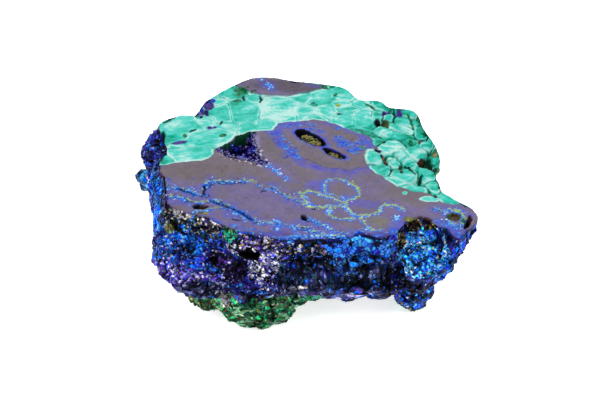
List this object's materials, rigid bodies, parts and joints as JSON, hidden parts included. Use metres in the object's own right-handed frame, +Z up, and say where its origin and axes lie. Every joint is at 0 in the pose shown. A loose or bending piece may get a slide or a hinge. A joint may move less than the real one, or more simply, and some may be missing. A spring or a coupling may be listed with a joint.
{
  "type": "azurite and malachite specimen",
  "caption": "Rough lump of deep blue azurite with a band of green malachite, sawn and polished flat across its top, with an open vug of indigo crystals.",
  "frame": {"origin": "under the middle of the stone, on the surface that it stands on", "axes": "+Z up, square to the polished face; +X along the stone's longest side; +Y towards the malachite band at the back"},
  "size_m": [0.066, 0.0599, 0.023],
  "materials": {
    "stone": "polished flat on top, rough and drusy on the sides",
    "vug_crystals": "glassy crystal faces"
  },
  "bodies": {
    "root": {"stone": "stone", "vug_crystals": "vug_crystals"}
  },
  "joints": []
}
